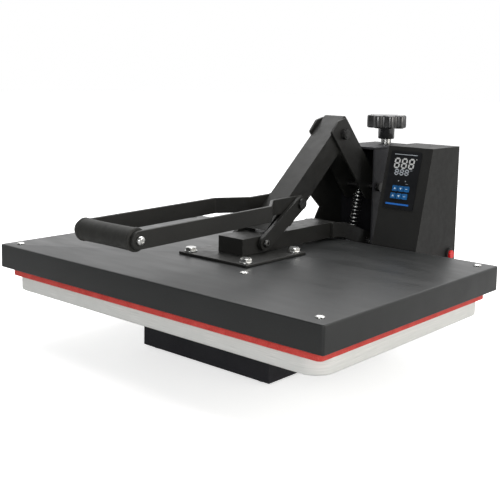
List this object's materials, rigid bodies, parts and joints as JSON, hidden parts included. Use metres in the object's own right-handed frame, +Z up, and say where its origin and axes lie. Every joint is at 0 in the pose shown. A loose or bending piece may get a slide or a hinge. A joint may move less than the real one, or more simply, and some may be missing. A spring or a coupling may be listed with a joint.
{
  "type": "heat press",
  "caption": "Flat clamshell heat press with a hinged heated platen, toggle lever and handle, pressure knob, silicone-padded lower platen and a sloping control box.",
  "frame": {"origin": "middle of the bounding box, at floor level", "axes": "+Z up, -Y towards the operator, +X to the operator's right"},
  "size_m": [0.64, 0.7136, 0.3648],
  "materials": {
    "aluminium": "brushed, lightly mottled",
    "black_bolt": "black oxide",
    "board": "solder mask",
    "box_coat": "matt black fine-texture powder coat",
    "coat": "satin black powder coat",
    "cover_coat": "satin dark grey enamel",
    "fibre": "mineral fibre",
    "foot_rubber": "matt",
    "grip_foam": "matt black rubber",
    "key_film": "satin blue film",
    "knob_plastic": "glossy black",
    "label_film": "satin printed film",
    "linkage_coat": "satin black enamel",
    "silicone": "matt red silicone",
    "switch_plastic": "moulded black",
    "switch_red": "glossy red",
    "zinc": "bright zinc plate"
  },
  "bodies": {
    "base": {"arm_pivot_pin": "zinc", "base_frame": "coat", "circuit_board": "board", "column": "coat", "column_cap": "coat", "column_gusset": "linkage_coat", "control_box": "box_coat", "control_box_back": "box_coat", "foot_front_left": "foot_rubber", "foot_front_right": "foot_rubber", "foot_rear_left": "foot_rubber", "foot_rear_right": "foot_rubber", "lift_spring": "zinc", "lower_platen": "aluminium", "panel_label": "label_film", "power_inlet": "switch_plastic", "rocker_pivot_pin": "black_bolt", "silicone_pad": "silicone", "switch_bezel": "switch_plastic"},
    "arm": {"arm_side_plate_left": "linkage_coat", "arm_side_plate_right": "linkage_coat", "arm_tube": "linkage_coat", "cover_screw_1": "zinc", "cover_screw_2": "zinc", "cover_screw_3": "zinc", "cover_screw_4": "zinc", "cover_screw_5": "zinc", "heat_cover": "cover_coat", "heating_platen": "aluminium", "insulation": "fibre", "link_foot_pin": "black_bolt", "mount_bolt_1": "zinc", "mount_bolt_2": "zinc", "mount_bolt_3": "zinc", "mount_bolt_4": "zinc", "mount_plate": "linkage_coat", "spring_pin": "zinc"},
    "rocker": {"rocker_crossbar": "zinc", "rocker_plate_left": "linkage_coat", "rocker_plate_right": "linkage_coat"},
    "lever": {"grip_bolt": "zinc", "handle_bar_left": "linkage_coat", "handle_bar_right": "linkage_coat", "handle_grip": "grip_foam", "lever_tube": "linkage_coat", "top_pivot_bolt": "black_bolt"},
    "link": {"link_bar_left": "linkage_coat", "link_bar_right": "linkage_coat", "link_top_rivet_left": "black_bolt", "link_top_rivet_right": "black_bolt"},
    "knob": {"pressure_knob": "knob_plastic", "pressure_screw": "zinc"},
    "power_button": {"power_button": "switch_red"},
    "key_1_1": {"key_1_1": "key_film"},
    "key_1_2": {"key_1_2": "key_film"},
    "key_1_3": {"key_1_3": "key_film"},
    "key_2_1": {"key_2_1": "key_film"},
    "key_2_2": {"key_2_2": "key_film"},
    "key_2_3": {"key_2_3": "key_film"}
  },
  "joints": [
    {"name": "arm_lift", "type": "hinge", "parent": "base", "child": "arm", "pos_m": [0, 0.23825, 0.1385], "axis": [-1, 0, 0], "range_deg": [0, 28], "deforming": ["lift_spring"]},
    {"name": "pressure_turn", "type": "hinge", "parent": "base", "child": "knob", "pos_m": [0, 0.32025, 0.3379], "axis": [0, 0, 1], "range_deg": [-271, 271]},
    {"name": "rocker_tilt", "type": "hinge", "parent": "base", "child": "rocker", "pos_m": [0, 0.23625, 0.2385], "axis": [1, 0, 0], "range_deg": [-0.9, 0.9]},
    {"name": "lever_swing", "type": "hinge", "parent": "rocker", "child": "lever", "pos_m": [0, 0.14925, 0.3345], "axis": [-1, 0, 0], "range_deg": [0, 69.15]},
    {"name": "link_swing", "type": "hinge", "parent": "arm", "child": "link", "pos_m": [0, -0.05875, 0.1755], "axis": [-1, 0, 0], "range_deg": [-78.78, 0]},
    {"name": "key_1_1_press", "type": "slide", "parent": "base", "child": "key_1_1", "axis": [0, 0.9684, -0.2495], "range_m": [0, 0.0006], "stiffness_N_per_m": 400},
    {"name": "key_1_2_press", "type": "slide", "parent": "base", "child": "key_1_2", "axis": [0, 0.9684, -0.2495], "range_m": [0, 0.0006], "stiffness_N_per_m": 400},
    {"name": "key_1_3_press", "type": "slide", "parent": "base", "child": "key_1_3", "axis": [0, 0.9684, -0.2495], "range_m": [0, 0.0006], "stiffness_N_per_m": 400},
    {"name": "key_2_1_press", "type": "slide", "parent": "base", "child": "key_2_1", "axis": [0, 0.9684, -0.2495], "range_m": [0, 0.0006], "stiffness_N_per_m": 400},
    {"name": "key_2_2_press", "type": "slide", "parent": "base", "child": "key_2_2", "axis": [0, 0.9684, -0.2495], "range_m": [0, 0.0006], "stiffness_N_per_m": 400},
    {"name": "key_2_3_press", "type": "slide", "parent": "base", "child": "key_2_3", "axis": [0, 0.9684, -0.2495], "range_m": [0, 0.0006], "stiffness_N_per_m": 400},
    {"name": "power_press", "type": "slide", "parent": "base", "child": "power_button", "axis": [-1, 0, 0], "range_m": [0, 0.003], "stiffness_N_per_m": 500}
  ],
  "couplings": [
    {"joint": "lever_swing", "follows": "arm_lift", "ratio": 2.469},
    {"joint": "link_swing", "follows": "arm_lift", "ratio": -2.8127},
    {"joint": "pressure_turn", "follows": "rocker_tilt", "ratio": 301.57}
  ]
}
